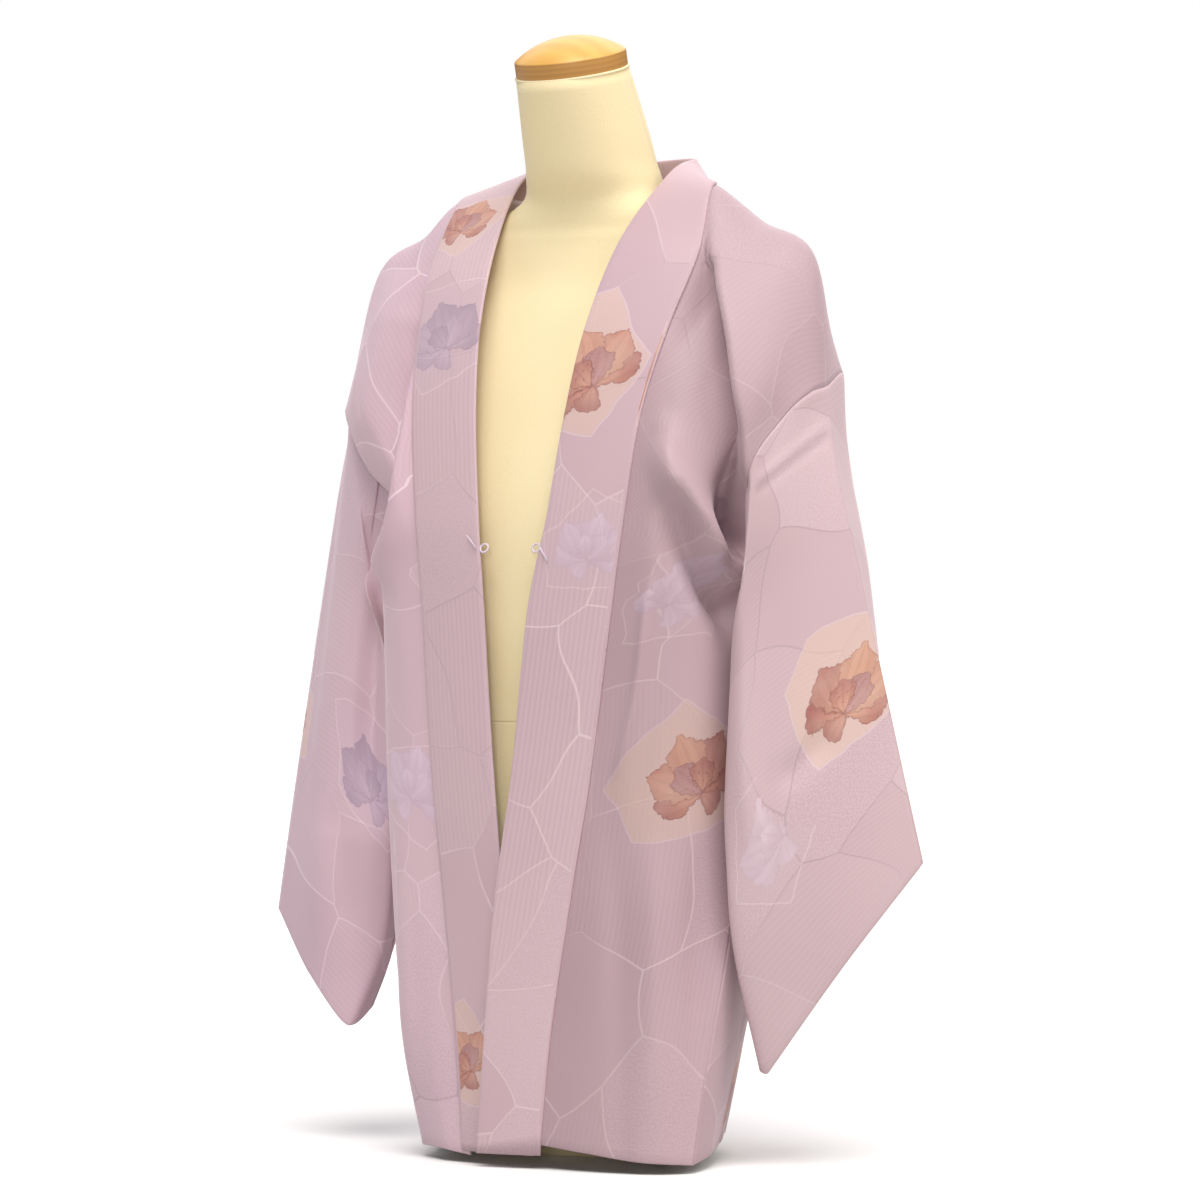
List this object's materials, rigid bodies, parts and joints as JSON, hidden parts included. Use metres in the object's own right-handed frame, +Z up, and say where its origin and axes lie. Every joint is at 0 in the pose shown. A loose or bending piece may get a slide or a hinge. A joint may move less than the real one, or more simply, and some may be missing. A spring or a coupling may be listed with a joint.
{
  "type": "haori jacket on dress form",
  "caption": "Hip-length open-front haori jacket with hanging sleeves, a straight collar band and side gussets, worn by a limbless dress form with a wooden neck cap.",
  "frame": {"origin": "on the dress form's flat base, below the middle of the shoulders, where it stands on the floor", "axes": "+Z up, -Y towards the jacket's open front, +X towards the wearer's left sleeve"},
  "size_m": [0.573, 0.2786, 0.876],
  "materials": {
    "silk": "soft satin silk with a woven pattern of thin lines and small flowers",
    "cord": "matt twisted thread",
    "form_cloth": "matt fine cream cloth",
    "wood": "clear satin varnish"
  },
  "bodies": {
    "root": {"body_left": "silk", "body_right": "silk", "gusset_left": "silk", "gusset_right": "silk", "sleeve_left": "silk", "sleeve_right": "silk", "collar": "silk", "loop_left": "cord", "loop_right": "cord", "form_torso": "form_cloth", "form_cap": "wood"}
  },
  "joints": []
}
